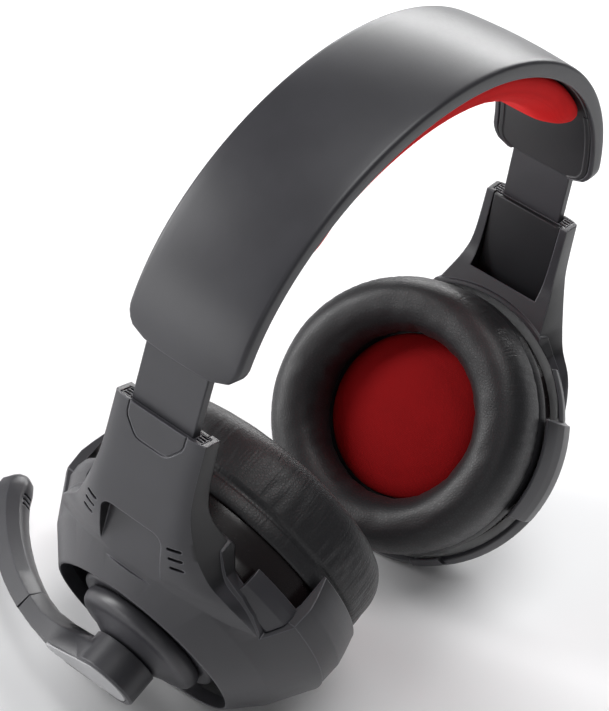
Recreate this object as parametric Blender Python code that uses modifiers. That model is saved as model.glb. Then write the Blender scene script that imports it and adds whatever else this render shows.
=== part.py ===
"""Over-ear gaming headset with a swing-down microphone boom, in metres, +Z up.

The wearer faces -Y, so +X is the wearer's left. The origin is midway between the centres of the
ear cups. Each piece of a side is modelled once: the right side is the left side turned half a turn
about Z.
"""

import math

import bmesh
import bpy
from mathutils import Matrix, Vector

MM = 0.001
GAP = 0.3 * MM

# Headband: half of the outer side profile is one cubic Bezier curve, from the apex to the end.
BAND_APEX_Z = 156.6 * MM
BAND_APEX_HANDLE = 42.9 * MM
BAND_END_X = 90.0 * MM
BAND_END_Z = 90.7 * MM
BAND_END_HANDLE = 39.0 * MM
BAND_WIDTH = 38.0 * MM
BAND_DEPTH = 6.0 * MM
BAND_SKIN = 1.0 * MM
BAND_EDGE = 1.8 * MM
BAND_CORNER = 6.5 * MM
BAND_STEPS = 18
LINER_THICKNESS = 1.2 * MM
SPRING_OUTER = 2.2 * MM
SPRING_INNER = 3.0 * MM
SPRING_WIDTH = 20.0 * MM
SPRING_END = 0.86
PAD_END = 0.70
PAD_SEAM = 3.0 * MM
PAD_THICKNESS = 11.0 * MM
PAD_WIDTH = 34.0 * MM

# Size adjustment: the yoke slides on a flat strip, which leans out by this angle.
SLIDE_TILT = math.radians(6.0)
YOKE_TOP_X = 92.4 * MM
YOKE_TOP_Z = 72.8 * MM
STRIP_HALF_WIDTH = 10.85 * MM
STRIP_OUTER = -1.8 * MM
STRIP_INNER = -4.9 * MM
STRIP_EXPOSED = 18.1 * MM
STRIP_BELOW = 15.5 * MM
TONGUE_HALF_WIDTH = 9.0 * MM
TONGUE_OUTER = -3.7 * MM
TONGUE_LENGTH = 13.0 * MM
SCREW_ABOVE = 9.5 * MM

# Ear cups: the axis of each cup points outward and down, because the cups lean at rest.
CUP_X = 57.9 * MM
CUP_LEAN = math.radians(30.0)
RING_STEPS = 40
CUP_STEPS = 28
SMALL_STEPS = 16
PIN_STEPS = 12
INLET_STEPS = 16
VENTS = 20

# A cutter's depth, past either side of whatever it cuts.
REACH = 130.0 * MM

# Boom: it swings about the cup's axis, and at rest it points forward and a little down.
BOOM_REST = math.radians(200.0)
HUB_RADIUS = 10.4 * MM
HUB_BOTTOM = 32.9 * MM
HUB_TOP = 42.8 * MM
ELBOW = 42.0 * MM

SIDES = {"left": 0.0, "right": math.pi}


def columns(x_axis, y_axis, z_axis, origin):
    """The frame with these axes and this origin."""
    frame = Matrix((x_axis, y_axis, z_axis)).transposed().to_4x4()
    frame.translation = origin
    return frame


FRONT_VIEW = columns((0, 1, 0), (0, 0, 1), (1, 0, 0), (0, 0, 0))
SIDE_VIEW = Matrix.Rotation(math.pi / 2, 4, "X")
SLIDE = columns(
    (0, 1, 0),
    (-math.sin(SLIDE_TILT), 0, math.cos(SLIDE_TILT)),
    (math.cos(SLIDE_TILT), 0, math.sin(SLIDE_TILT)),
    (YOKE_TOP_X, 0, YOKE_TOP_Z),
)
CUP = columns(
    (0, 1, 0),
    (math.sin(CUP_LEAN), 0, math.cos(CUP_LEAN)),
    (math.cos(CUP_LEAN), 0, -math.sin(CUP_LEAN)),
    (CUP_X, 0, 0),
)


def clear_scene():
    for old in list(bpy.data.objects):
        bpy.data.objects.remove(old, do_unlink=True)


def new_collection(name):
    collection = bpy.data.collections.new(name)
    bpy.context.scene.collection.children.link(collection)
    return collection


clear_scene()
PARTS = new_collection("gaming_headset")
CUTTERS = new_collection("cutters")


def material(name, colour, roughness, metallic=0.0):
    made = bpy.data.materials.new(name)
    made.use_nodes = True
    shader = made.node_tree.nodes["Principled BSDF"]
    shader.inputs["Base Color"].default_value = (*colour, 1.0)
    shader.inputs["Roughness"].default_value = roughness
    shader.inputs["Metallic"].default_value = metallic
    return made


def mm(points):
    return [tuple(value * MM for value in point) for point in points]


# ---- Shape tools ----


def tool(name, mesh):
    """A hidden helper solid, for Boolean modifiers."""
    helper = bpy.data.objects.new(name, mesh)
    helper.hide_render = True
    helper.display_type = "WIRE"
    CUTTERS.objects.link(helper)
    return helper


def evaluated_mesh(helper, name):
    """The mesh that a helper's modifiers give, welded and facing out. The helper is removed."""
    bpy.context.view_layer.update()
    graph = bpy.context.evaluated_depsgraph_get()
    mesh = bpy.data.meshes.new_from_object(helper.evaluated_get(graph))
    mesh.transform(helper.matrix_world)
    mesh.name = name
    shape = bmesh.new()
    shape.from_mesh(mesh)
    bmesh.ops.remove_doubles(shape, verts=shape.verts, dist=0.002 * MM)
    bmesh.ops.recalc_face_normals(shape, faces=shape.faces)
    shape.to_mesh(mesh)
    shape.free()
    bpy.data.objects.remove(helper, do_unlink=True)
    return mesh


def prism(name, outline, low, high, frame=Matrix()):
    """A flat outline in the frame's XY plane, as a solid from low to high along the frame's Z."""
    curve = bpy.data.curves.new(name, "CURVE")
    curve.dimensions = "2D"
    curve.fill_mode = "BOTH"
    curve.extrude = (high - low) / 2
    spline = curve.splines.new("POLY")
    spline.points.add(len(outline) - 1)
    for point, (x, y) in zip(spline.points, outline):
        point.co = (x, y, 0, 1)
    spline.use_cyclic_u = True
    helper = tool(name, curve)
    helper.matrix_world = frame @ Matrix.Translation((0, 0, (low + high) / 2))
    return tool(name, evaluated_mesh(helper, name))


def turned(name, profile, steps, frame=Matrix(), closed=False):
    """A profile of (radius, height) points, down its outer side, turned about the frame's Z."""
    mesh = bpy.data.meshes.new(name)
    shape = bmesh.new()
    corners = [shape.verts.new((radius, 0, height)) for radius, height in profile]
    for first, second in zip(corners, corners[1:]):
        shape.edges.new((first, second))
    if closed:
        shape.edges.new((corners[-1], corners[0]))
    shape.to_mesh(mesh)
    shape.free()
    helper = tool(name, mesh)
    helper.matrix_world = frame
    screw = helper.modifiers.new("turn", "SCREW")
    screw.steps = steps
    screw.render_steps = steps
    screw.use_merge_vertices = True
    screw.merge_threshold = 0.01 * MM
    return tool(name, evaluated_mesh(helper, name))


def box(name, low, high, frame=Matrix()):
    """A box between two opposite corners in the frame."""
    outline = [(low[0], low[1]), (high[0], low[1]), (high[0], high[1]), (low[0], high[1])]
    return prism(name, outline, low[2], high[2], frame)


def boolean(target, operation, *tools):
    for helper in tools:
        modifier = target.modifiers.new(operation.lower(), "BOOLEAN")
        modifier.operation = operation
        modifier.object = helper


def finished(target, name, tools=()):
    mesh = evaluated_mesh(target, name)
    for helper in tools:
        bpy.data.objects.remove(helper, do_unlink=True)
    return mesh


def loft(name, rings):
    """A closed skin over rings of as many points each, capped at both ends."""
    mesh = bpy.data.meshes.new(name)
    shape = bmesh.new()
    loops = [[shape.verts.new(point) for point in ring] for ring in rings]
    for first, second in zip(loops, loops[1:]):
        for index in range(len(first)):
            after = (index + 1) % len(first)
            shape.faces.new((first[index], first[after], second[after], second[index]))
    shape.faces.new(loops[0])
    shape.faces.new(loops[-1])
    bmesh.ops.recalc_face_normals(shape, faces=shape.faces)
    shape.to_mesh(mesh)
    shape.free()
    return tool(name, mesh)


def place(name, mesh, finish, parent=None):
    piece = bpy.data.objects.new(name, mesh)
    PARTS.objects.link(piece)
    mesh.materials.clear()
    mesh.materials.append(finish)
    mesh.shade_smooth()
    mesh.set_sharp_from_angle(angle=math.radians(35))
    piece.parent = parent
    return piece


def empty(name, frame, parent=None):
    holder = bpy.data.objects.new(name, None)
    PARTS.objects.link(holder)
    holder.parent = parent
    holder.matrix_basis = frame
    return holder


# ---- Materials ----

shell_grey = material("shell_grey", (0.085, 0.083, 0.092), 0.42)
dark_grey = material("dark_grey", (0.022, 0.021, 0.024), 0.45)
cup_gloss = material("cup_gloss", (0.035, 0.022, 0.022), 0.25)
bright_panel = material("bright_panel", (0.32, 0.32, 0.33), 0.35)
leatherette = material("leatherette", (0.028, 0.026, 0.029), 0.55)
red_cloth = material("red_cloth", (0.20, 0.008, 0.009), 0.9)
red_pad = material("red_pad", (0.36, 0.02, 0.02), 0.8)
steel = material("steel", (0.56, 0.56, 0.58), 0.35, 1.0)
black_rubber = material("black_rubber", (0.012, 0.012, 0.013), 0.7)


# ---- Headband ----


def band_point(t, inset):
    """A point of the band, inset from its outer surface: t is 0 at the apex and 1 at the end."""
    end = Vector((BAND_END_X, BAND_END_Z))
    toward_end = Vector((math.sin(SLIDE_TILT), -math.cos(SLIDE_TILT)))
    handles = (
        Vector((0, BAND_APEX_Z)),
        Vector((BAND_APEX_HANDLE, BAND_APEX_Z)),
        end - toward_end * BAND_END_HANDLE,
        end,
    )
    weights = ((1 - t) ** 3, 3 * (1 - t) ** 2 * t, 3 * (1 - t) * t**2, t**3)
    slopes = (-3 * (1 - t) ** 2, 3 * (1 - t) * (1 - 3 * t), 3 * t * (2 - 3 * t), 3 * t**2)
    place_on_curve = sum((w * h for w, h in zip(weights, handles)), Vector((0, 0)))
    direction = sum((s * h for s, h in zip(slopes, handles)), Vector((0, 0))).normalized()
    return place_on_curve + inset * Vector((direction.y, -direction.x))


def band_line(first, last, inset):
    """Points along the band from t = first to t = last, where a negative t is on the right half."""
    steps = max(2, round(abs(last - first) * BAND_STEPS))
    line = []
    for step in range(steps + 1):
        t = first + (last - first) * step / steps
        point = band_point(abs(t), inset(t) if callable(inset) else inset)
        line.append((math.copysign(point.x, t), point.y))
    return line


def band_strip(name, first, last, outer, inner, width):
    """A strip of the band between two insets, as wide as given."""
    outline = band_line(first, last, outer) + band_line(last, first, inner)
    return prism(name, outline, -width / 2, width / 2, SIDE_VIEW)


def headband_cover():
    cover = band_strip("cover", -1, 1, 0, BAND_DEPTH, BAND_WIDTH)
    hollow_width = BAND_WIDTH - 2 * BAND_EDGE
    hollow = band_strip("hollow", -1.0, 1.0, BAND_SKIN, 2 * BAND_DEPTH, hollow_width)
    reach = BAND_APEX_Z + 5 * MM
    half = BAND_WIDTH / 2
    low = BAND_END_Z - 1 * MM
    outline = [(-half - MM, reach), (-half - MM, low + BAND_CORNER)]
    for step in range(5):
        angle = math.radians(180 + 22.5 * step)
        x = -half + BAND_CORNER + BAND_CORNER * math.cos(angle)
        outline.append((x, low + BAND_CORNER + BAND_CORNER * math.sin(angle)))
    outline += [(-x, z) for x, z in reversed(outline)]
    rounded = prism("rounded", outline, -REACH, REACH, FRONT_VIEW)
    mouths = [
        box(
            f"mouth_{side}",
            (-STRIP_HALF_WIDTH - GAP, -2 * MM, STRIP_INNER - GAP),
            (STRIP_HALF_WIDTH + GAP, STRIP_EXPOSED + 2 * MM, STRIP_OUTER + GAP),
            Matrix.Rotation(turn, 4, "Z") @ SLIDE,
        )
        for side, turn in SIDES.items()
    ]
    boolean(cover, "DIFFERENCE", hollow, *mouths)
    boolean(cover, "INTERSECT", rounded)
    return finished(cover, "headband_cover", (hollow, rounded, *mouths))


def liner_mesh():
    width = BAND_WIDTH - 2 * BAND_EDGE - 2 * GAP
    outer = BAND_DEPTH - LINER_THICKNESS
    liner = band_strip("liner", -PAD_END, PAD_END, outer, BAND_DEPTH, width)
    return finished(liner, "headband_liner")


def spring_mesh():
    spring = band_strip("spring", -SPRING_END, SPRING_END, SPRING_OUTER, SPRING_INNER, SPRING_WIDTH)
    return finished(spring, "spring_band")


def pad_mesh():
    def crest(t):
        share = min(1, (PAD_END - abs(t)) / (0.22 * PAD_END))
        swell = (PAD_THICKNESS - PAD_SEAM) * math.sqrt(max(0, share * (2 - share)))
        return BAND_DEPTH + GAP + PAD_SEAM + swell

    end = PAD_END - 0.02
    pad = band_strip("pad", -end, end, BAND_DEPTH + GAP, crest, PAD_WIDTH)
    return finished(pad, "headband_pad")


def end_plate_mesh():
    """The inner plate that closes the end of the band, below the pad, over the strip's tongue."""
    width = BAND_WIDTH - 2 * BAND_EDGE - 2 * GAP
    outer = BAND_DEPTH - LINER_THICKNESS
    plate = band_strip("plate", PAD_END + 0.004, 0.998, outer, BAND_DEPTH, width)
    return finished(plate, "end_plate")


# ---- Slider strip ----


def strip_mesh():
    """The strip with a thinner tongue inside the band. The yoke slides on its lower stretch."""
    tongue_top = STRIP_EXPOSED + TONGUE_LENGTH
    shoulder = STRIP_EXPOSED + 1 * MM
    strip = box(
        "strip",
        (-STRIP_HALF_WIDTH, -STRIP_BELOW, STRIP_INNER),
        (STRIP_HALF_WIDTH, shoulder, STRIP_OUTER),
    )
    tongue = box(
        "tongue",
        (-TONGUE_HALF_WIDTH, 0, STRIP_INNER),
        (TONGUE_HALF_WIDTH, tongue_top, TONGUE_OUTER),
    )
    hole = turned("hole", mm([(0, 2), (1.4, 2), (1.4, -8), (0, -8)]), PIN_STEPS, strip_screw_frame())
    boolean(strip, "UNION", tongue)
    boolean(strip, "DIFFERENCE", hole)
    return finished(strip, "slider_strip", (tongue, hole))


def strip_screw_frame():
    return Matrix.Translation((0, STRIP_EXPOSED + SCREW_ABOVE, 0))


def strip_screw_mesh():
    profile = mm([(0, -2.9), (1.1, -2.9), (1.1, -5.1), (2.2, -5.1), (2.2, -5.7), (0, -5.7)])
    return finished(turned("screw", profile, PIN_STEPS, strip_screw_frame()), "strip_screw")


# ---- Yoke ----


# Sections across the arm, from its top down into the ring: height along the slide, half width,
# and the distances of the middle, the edges and the back from the plane of the outer face.
ARM_SECTIONS = (
    (0, 15.7, 0, -1.2, -7.1),
    (-17, 16.1, 0, -1.4, -8.4),
    (-25, 17.4, 0, -1.9, -10.6),
    (-33, 20.0, 0, -3.6, -16.6),
    (-38, 22.2, -0.9, -5.4, -20.2),
    (-43, 25.3, -2.2, -7.8, -23.2),
    (-48, 30.8, -3.8, -11.2, -26.6),
    (-53, 34.6, -5.6, -15.4, -29.4),
    (-58, 36.9, -8.0, -19.6, -33.2),
    (-64, 38.0, -13.0, -25.0, -37.5),
)
ARM_SHARES = (0, 0.4, 0.7, 0.88, 1)
CARRIED_LOW = -6.0 * MM


def arm_mesh():
    """The arm: flat in the middle, falling away to both edges, flaring and deepening into the ring."""
    rings = []
    for height, half_width, middle, edge, back in ARM_SECTIONS:
        right = [(share * half_width, middle - (middle - edge) * share**2) for share in ARM_SHARES]
        right.append((half_width, back))
        left = [(-y, n) for y, n in reversed(right[1:])]
        rings.append([(y * MM, height * MM, n * MM) for y, n in right + left])
    arm = loft("arm", rings)
    arm.data.transform(SLIDE)
    return arm


def arm_outline():
    """The arm's outline from the front, a hair inside its edges, for the part of the ring it carries."""
    right = []
    for height, half_width, *_ in ARM_SECTIONS:
        right.append((half_width * MM - GAP / 3, (SLIDE @ Vector((0, height * MM, 0))).z))
    right.append((right[-1][0], CARRIED_LOW))
    return prism("arm_outline", right + [(-y, z) for y, z in reversed(right)], 0, REACH, FRONT_VIEW)


RING_OUTSIDE = mm(
    [(0, 25.7), (31.6, 25.7), (40.2, 16.5), (46.8, 5.7), (48.3, 3.3), (47.0, -1.4), (0, -1.4)]
)
RING_INSIDE = mm(
    [(0, 40), (31, 40), (31, 21.5), (38.4, 14.0), (44.3, 4.4)]
    + [(45.3, 0), (45.9, -3), (45.9, -40), (0, -40)]
)
BUMPER = mm([(44.5, 3.0), (48.4, 3.2), (48.8, -3.4), (48.0, -7.7), (46.6, -13.4), (44.5, -13.4)])
LOW_BUMPER = mm([(44.5, 2.5), (48.0, 2.0), (48.4, -3.0), (46.6, -6.5), (44.5, -6.5)])


def yoke_shell_mesh():
    """Arm and ring in one moulding, with a bumper at the front and at the rear of the ring."""
    arm = arm_mesh()
    ring = turned("ring", RING_OUTSIDE, RING_STEPS, CUP)
    notches = box("notches", *mm([(-60, 21.6, -30), (60, 60, 40)]), CUP)
    carried = arm_outline()
    boolean(notches, "DIFFERENCE", carried)
    boolean(ring, "DIFFERENCE", notches)
    ring_solid = tool("ring_solid", finished(ring, "ring_solid", (notches, carried)))

    bumpers = []
    for index, sign in enumerate((1, -1)):
        bumper = turned(f"bumper_{index}", BUMPER, RING_STEPS, CUP, closed=True)
        wedge = mm([(30 * sign, 22), (60 * sign, 22), (60 * sign, -14), (30 * sign, -7)])
        sector = prism(f"sector_{index}", wedge, -REACH, REACH, CUP)
        boolean(bumper, "INTERSECT", sector)
        low_bumper = turned(f"low_bumper_{index}", LOW_BUMPER, RING_STEPS, CUP, closed=True)
        low_wedge = mm([(18 * sign, -30), (45 * sign, -46), (30 * sign, -60), (20 * sign, -40)])
        low_sector = prism(f"low_sector_{index}", low_wedge, -REACH, REACH, CUP)
        boolean(low_bumper, "INTERSECT", low_sector)
        bumpers += [(bumper, sector), (low_bumper, low_sector)]
    bumper_solids = [tool(f"lump_{i}", finished(b, "lump", (s,))) for i, (b, s) in enumerate(bumpers)]

    cavity = turned("cavity", RING_INSIDE, RING_STEPS, CUP)
    cuts = [cavity, *yoke_pockets()]
    boolean(arm, "UNION", ring_solid, *bumper_solids)
    boolean(arm, "DIFFERENCE", *cuts)
    mesh = finished(arm, "yoke_shell", (ring_solid, *bumper_solids, *cuts))
    mesh.transform(SLIDE.inverted())
    return mesh


def yoke_pockets():
    """What is cut from the yoke: strip channel, cover seat, face pocket, slots and pivot holes."""
    channel = box("channel", *mm([(-11.3, -32, -6.5), (11.3, 2, -1.5)]), SLIDE)
    mouth = box("mouth", *mm([(-14.3, -4.0, -5.6), (14.3, 2, -1.1)]), SLIDE)
    seat = box("seat", *mm([(-13.0, -36, -12), (13.0, 2, -5.4)]), SLIDE)
    pocket_side = mm([(100, 40.5), (94.4, 40.5), (93.4, 30), (93.6, 25), (100, 22.5)])
    pocket = prism("pocket", pocket_side, -11 * MM, 11 * MM, SIDE_VIEW)
    cuts = [channel, mouth, seat, pocket]
    for sign in (1, -1):
        for row in range(3):
            middle = (14.7 + 0.6 * row) * sign
            height = 38.6 - 3.1 * row
            low = (middle - 2, height - 0.55, 93.0)
            high = (middle + 2, height + 0.55, 98.0)
            cuts.append(box(f"slot_{sign}_{row}", *mm([low, high]), FRONT_VIEW))
        pin_hole = turned(
            f"pin_hole_{sign}",
            mm([(0, 47.7), (2.1, 47.7), (2.1, 40), (0, 40)]),
            PIN_STEPS,
            CUP @ Matrix.Rotation(math.pi / 2 * sign, 4, "Y"),
        )
        cuts.append(pin_hole)
    return cuts


def yoke_cover_mesh():
    """The inner plate that closes the strip's channel, in the yoke's own frame."""
    plate = box("plate", *mm([(-12.7, -35.7, -7.1), (12.7, -0.3, -5.7)]))
    return finished(plate, "yoke_cover")


def slider_guide_mesh():
    """The insert in the yoke's mouth: the strip runs through it, and thin ribs stand at each end."""
    guide = box("guide", *mm([(-14.0, -3.7, -5.4), (14.0, -0.2, -1.4)]))
    hole = box("strip_hole", *mm([(-11.1, -5, -5.15), (11.1, 2, -1.55)]))
    slots = []
    for sign in (1, -1):
        for row in range(3):
            height = -4.95 + 1.2 * row
            near, far = sorted((11.6 * sign, 13.5 * sign))
            corners = mm([(near, -3, height), (far, 2, height + 0.7)])
            slots.append(box(f"rib_gap_{sign}_{row}", *corners))
    boolean(guide, "DIFFERENCE", hole, *slots)
    return finished(guide, "slider_guide", (hole, *slots))


def pivot_pin_mesh():
    profile = mm([(0, 47.3), (1.8, 47.3), (1.8, 40.8), (0, 40.8)])
    return finished(turned("pin", profile, PIN_STEPS), "pivot_pin")


# ---- Ear cup ----


def housing_mesh(with_inlet):
    outer = [(30.6, 17), (32.5, 14.5), (36.8, 10.5), (41, 5), (42.6, 0), (43, -7), (43, -12.2)]
    inner = [(41, -12.2), (41, -7), (40.6, 0), (39.3, 4), (35.6, 9), (31, 12.6), (29.3, 14), (29.3, 17)]
    housing = turned("housing", mm(outer + inner), CUP_STEPS, closed=True)
    cuts = []
    for sign in (1, -1):
        turn = Matrix.Rotation(math.pi / 2 * sign, 4, "Y")
        way = mm([(0, 50), (2.2, 50), (2.2, 35), (0, 35)])
        cuts.append(turned(f"pin_way_{sign}", way, PIN_STEPS, turn))
    if with_inlet:
        way = mm([(0, 50), (2.4, 50), (2.4, 35), (0, 35)])
        cuts.append(turned("inlet_way", way, PIN_STEPS, inlet_frame()))
    boolean(housing, "DIFFERENCE", *cuts)
    return finished(housing, "cup_housing", cuts)


def inlet_frame():
    """The cable inlet's axis, which points down out of the bottom of the cup's rear wall."""
    return Matrix.Translation((0, 0, -5.2 * MM)) @ Matrix.Rotation(math.pi / 2, 4, "X")


def inlet_mesh():
    profile = mm([(1.2, 44.6), (2.6, 44.6), (2.6, 43.4), (2.1, 43.2), (2.1, 39.6), (1.2, 39.6)])
    return finished(turned("inlet", profile, INLET_STEPS, inlet_frame(), closed=True), "cable_inlet")


def vent_ring_mesh():
    profile = mm([(23.9, 16.2), (29, 16.2), (29, 14.2), (23.9, 14.2)])
    ring = turned("ring", profile, CUP_STEPS, closed=True)
    cuts = []
    for index in range(VENTS):
        turn = Matrix.Rotation(2 * math.pi * (index + 0.5) / VENTS, 4, "Z")
        cuts.append(box(f"vent_{index}", *mm([(24.9, -1.1, 12), (28.0, 1.1, 18)]), turn))
    boolean(ring, "DIFFERENCE", *cuts)
    return finished(ring, "vent_ring", cuts)


def turned_part(name, points, steps=CUP_STEPS, closed=True):
    return finished(turned(name, mm(points), steps, closed=closed), name)


def drum_mesh():
    outer = [(18.8, 23.7), (22.8, 23.7), (23.6, 22.9), (23.6, 13.9), (28.8, 13.9), (28.8, 12.4)]
    inner = [(21.6, 12.4), (21.6, 21.7), (18.8, 21.7)]
    return turned_part("drum", outer + inner)


def disc_mesh(bored):
    """The dished disc over the drum. The left one is bored for the boom's spindle."""
    dish = [(9, 32.4), (12.5, 30.8), (16, 29.4), (18.3, 29.1)]
    edge = [(19.7, 28.4), (20.5, 26.6), (20.5, 24.8), (19.8, 24), (18.4, 24), (18.4, 21.9)]
    centre = 3.3 if bored else 0
    points = [(centre, 32.6), *dish, *edge, (centre, 21.9)]
    return turned_part("disc", points, closed=bored)


def baffle_mesh():
    return turned_part("baffle", [(20.4, -12.5), (42.9, -12.5), (42.9, -14.6), (20.4, -14.6)])


def driver_frame_mesh():
    outer = [(15.6, -6.8), (17, -8.7), (19, -12.4), (20.1, -12.4), (20.1, -14.4)]
    inner = [(18, -14.4), (17.6, -12.4), (15.4, -8.6), (11.9, -8.2), (11.9, -6.8)]
    return turned_part("driver_frame", outer + inner, SMALL_STEPS)


def driver_magnet_mesh():
    points = [(0, -3.2), (10.9, -3.2), (11.5, -3.8), (11.5, -9.2), (0, -9.2)]
    return turned_part("driver_magnet", points, SMALL_STEPS, closed=False)


def diaphragm_mesh():
    top = [(0, -10.4), (7, -11.0), (11.5, -12.6), (17.3, -13.0)]
    bottom = [(17.3, -13.6), (11.5, -13.2), (7, -11.6), (0, -11.0)]
    return turned_part("driver_diaphragm", top + bottom, SMALL_STEPS, closed=False)


def ear_cloth_mesh():
    points = [(0, -14.9), (25.0, -14.9), (25.6, -16.5), (25.0, -20.6), (0, -21.6)]
    return turned_part("ear_cloth", points, closed=False)


def cushion_mesh():
    """The annular cushion with the skirt of its cover, which grips the lip of the housing."""
    skirt = [(43.3, -14.9), (43.3, -8.6), (44.2, -8.8), (44.4, -11.5), (43.9, -13.4)]
    outer = [(44.7, -17.5), (44.8, -26), (42.8, -31.4), (38.5, -34)]
    inner = [(31.5, -34), (27.4, -31.2), (25.9, -26.5), (26.4, -21), (29, -14.9)]
    return turned_part("ear_cushion", skirt + outer + inner)


# ---- Boom ----

BOOM_LINE = mm(
    [(42.3, 34.3), (48, 32.2), (54, 29.7), (60, 26.7), (66, 23.2)]
    + [(72, 19.2), (77, 15.2), (81.5, 11), (84.5, 7)]
)
BOOM_TIP = mm([(86.2, 3.6), (87.0, 1.4)])


def boom_section(centre, direction, thickness, height):
    """An eight-sided section with a ridge along its top and its bottom, in the boom's frame."""
    across = Vector((-direction.y, direction.x))
    ridge = 0.06 * thickness
    sides = (
        (0.50 * thickness, 0.40 * height),
        (-ridge, 0.50 * height),
        (-0.42 * thickness, 0.30 * height),
        (-0.50 * thickness, 0.14 * height),
    )
    ring = []
    for offset, half in sides + tuple((o, -h) for o, h in reversed(sides)):
        point = centre + across * offset
        ring.append((point.x, half, point.y))
    return ring


def boom_rings(line, thicknesses, heights):
    points = [Vector(point) for point in line]
    rings = []
    for index, (point, thickness, height) in enumerate(zip(points, thicknesses, heights)):
        before = points[max(0, index - 1)]
        after = points[min(len(points) - 1, index + 1)]
        rings.append(boom_section(point, (after - before).normalized(), thickness, height))
    return rings


def tip_frame():
    """The microphone's place near the tip: Z points out of the boom's inner side, at the mouth."""
    direction = (Vector(BOOM_LINE[8]) - Vector(BOOM_LINE[6])).normalized()
    inward = Vector((direction.y, 0, -direction.x))
    along = Vector((direction.x, 0, direction.y))
    centre = Vector(BOOM_LINE[7])
    return columns(along, inward.cross(along), inward, (centre.x, 0, centre.y))


def boom_arm_mesh():
    line = BOOM_LINE + BOOM_TIP
    count = len(BOOM_LINE)
    thicknesses = [(9.0 + 1.8 * index / (count - 1)) * MM for index in range(count)]
    thicknesses += [9.2 * MM, 5.0 * MM]
    heights = [10.6 * MM] * count + [8.6 * MM, 4.6 * MM]
    arm = loft("arm", boom_rings(line, thicknesses, heights))
    frame = tip_frame()
    chamber = box("chamber", *mm([(-3.4, -3.4, -1.6), (3.4, 3.4, 2.9)]), frame)
    slots = []
    for row in range(3):
        low = -2.6 + 1.9 * row
        slots.append(box(f"sound_slot_{row}", *mm([(low, -2.2, 2), (low + 0.9, 2.2, 8)]), frame))
    boolean(arm, "DIFFERENCE", chamber, *slots)
    return finished(arm, "boom_arm", (chamber, *slots))


def boom_hub_mesh():
    """The hub with the boom's first stretch, down to the elbow seam."""
    hub_profile = [(0, HUB_TOP), (HUB_RADIUS - 0.6 * MM, HUB_TOP), (HUB_RADIUS, HUB_TOP - 0.6 * MM)]
    hub_profile += [(HUB_RADIUS, HUB_BOTTOM), (0, HUB_BOTTOM)]
    hub = turned("hub", hub_profile, CUP_STEPS)
    line = mm([(2, 37.9), (12, 38.0), (22, 37.9), (32, 36.9), (ELBOW / MM - 0.3, 34.4)])
    thicknesses = [9.4 * MM, 9.4 * MM, 9.3 * MM, 9.1 * MM, 9.0 * MM]
    heights = [20 * MM, 18.5 * MM, 15.5 * MM, 12.4 * MM, 10.6 * MM]
    stretch = loft("stretch", boom_rings(line, thicknesses, heights))
    cuts = [
        turned("bore", mm([(0, 50), (3.4, 50), (3.4, 30), (0, 30)]), SMALL_STEPS),
        turned("counterbore", mm([(0, 50), (5.8, 50), (5.8, 37.3), (0, 37.3)]), SMALL_STEPS),
        turned("washer_seat", mm([(0, 33.9), (8.8, 33.9), (8.8, 30), (0, 30)]), SMALL_STEPS),
        prism("panel_seat", panel_outline(8.6 * MM), HUB_TOP - 1.1 * MM, HUB_TOP + 5 * MM),
    ]
    boolean(hub, "UNION", stretch)
    boolean(hub, "DIFFERENCE", *cuts)
    return finished(hub, "boom_hub", (stretch, *cuts))


def panel_outline(radius):
    """A teardrop: round on the hub, and narrowing along the boom."""
    far = 27 * MM
    tip = radius * 0.32
    outline = []
    for step in range(13):
        angle = math.radians(75 + 17.5 * step)
        outline.append((radius * math.cos(angle), radius * math.sin(angle)))
    for step in range(5):
        angle = math.radians(-80 + 40 * step)
        outline.append((far - tip + tip * math.cos(angle), tip * math.sin(angle)))
    return outline


def boom_panel_mesh():
    panel = prism("panel", panel_outline(8.3 * MM), HUB_TOP - 0.8 * MM, HUB_TOP + 0.1 * MM)
    return finished(panel, "boom_panel")


def spindle_mesh():
    points = [(0, 39.2), (5.2, 39.2), (5.2, 37.6), (3.0, 37.6), (3.0, 24.4), (0, 24.4)]
    return turned_part("boom_spindle", points, SMALL_STEPS, closed=False)


def washer_mesh():
    return turned_part("washer", [(3.4, 33.5), (8.4, 33.5), (8.4, 32.9), (3.4, 32.9)], SMALL_STEPS)


def capsule_mesh():
    profile = mm([(0, 1.6), (2.9, 1.6), (2.9, -1.3), (0, -1.3)])
    return finished(turned("capsule", profile, SMALL_STEPS, tip_frame()), "mic_capsule")


# ---- Assembly ----


def build_headband():
    place("headband_cover", headband_cover(), shell_grey)
    place("headband_liner", liner_mesh(), dark_grey)
    place("spring_band", spring_mesh(), steel)
    place("headband_pad", pad_mesh(), red_pad)
    plate = end_plate_mesh()
    strip = strip_mesh()
    screw = strip_screw_mesh()
    for side, turn in SIDES.items():
        side_frame = empty(f"{side}_side", Matrix.Rotation(turn, 4, "Z"))
        strip_frame = empty(f"{side}_strip", SLIDE, side_frame)
        place(f"{side}_end_plate", plate, dark_grey, side_frame)
        place(f"{side}_slider_strip", strip, shell_grey, strip_frame)
        place(f"{side}_strip_screw", screw, steel, strip_frame)


def build_yokes():
    shell = yoke_shell_mesh()
    cover = yoke_cover_mesh()
    guide = slider_guide_mesh()
    pin = pivot_pin_mesh()
    for side, turn in SIDES.items():
        yoke = empty(f"{side}_yoke", Matrix.Rotation(turn, 4, "Z") @ SLIDE)
        place(f"{side}_yoke_shell", shell, shell_grey, yoke)
        place(f"{side}_yoke_cover", cover, dark_grey, yoke)
        place(f"{side}_slider_guide", guide, dark_grey, yoke)
        cup = empty(f"{side}_cup", SLIDE.inverted() @ CUP, yoke)
        for number, sign in enumerate((1, -1), start=1):
            fitted = place(f"{side}_pivot_pin_{number}", pin, steel, cup)
            fitted.rotation_euler = (0, math.pi / 2 * sign, 0)


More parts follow.
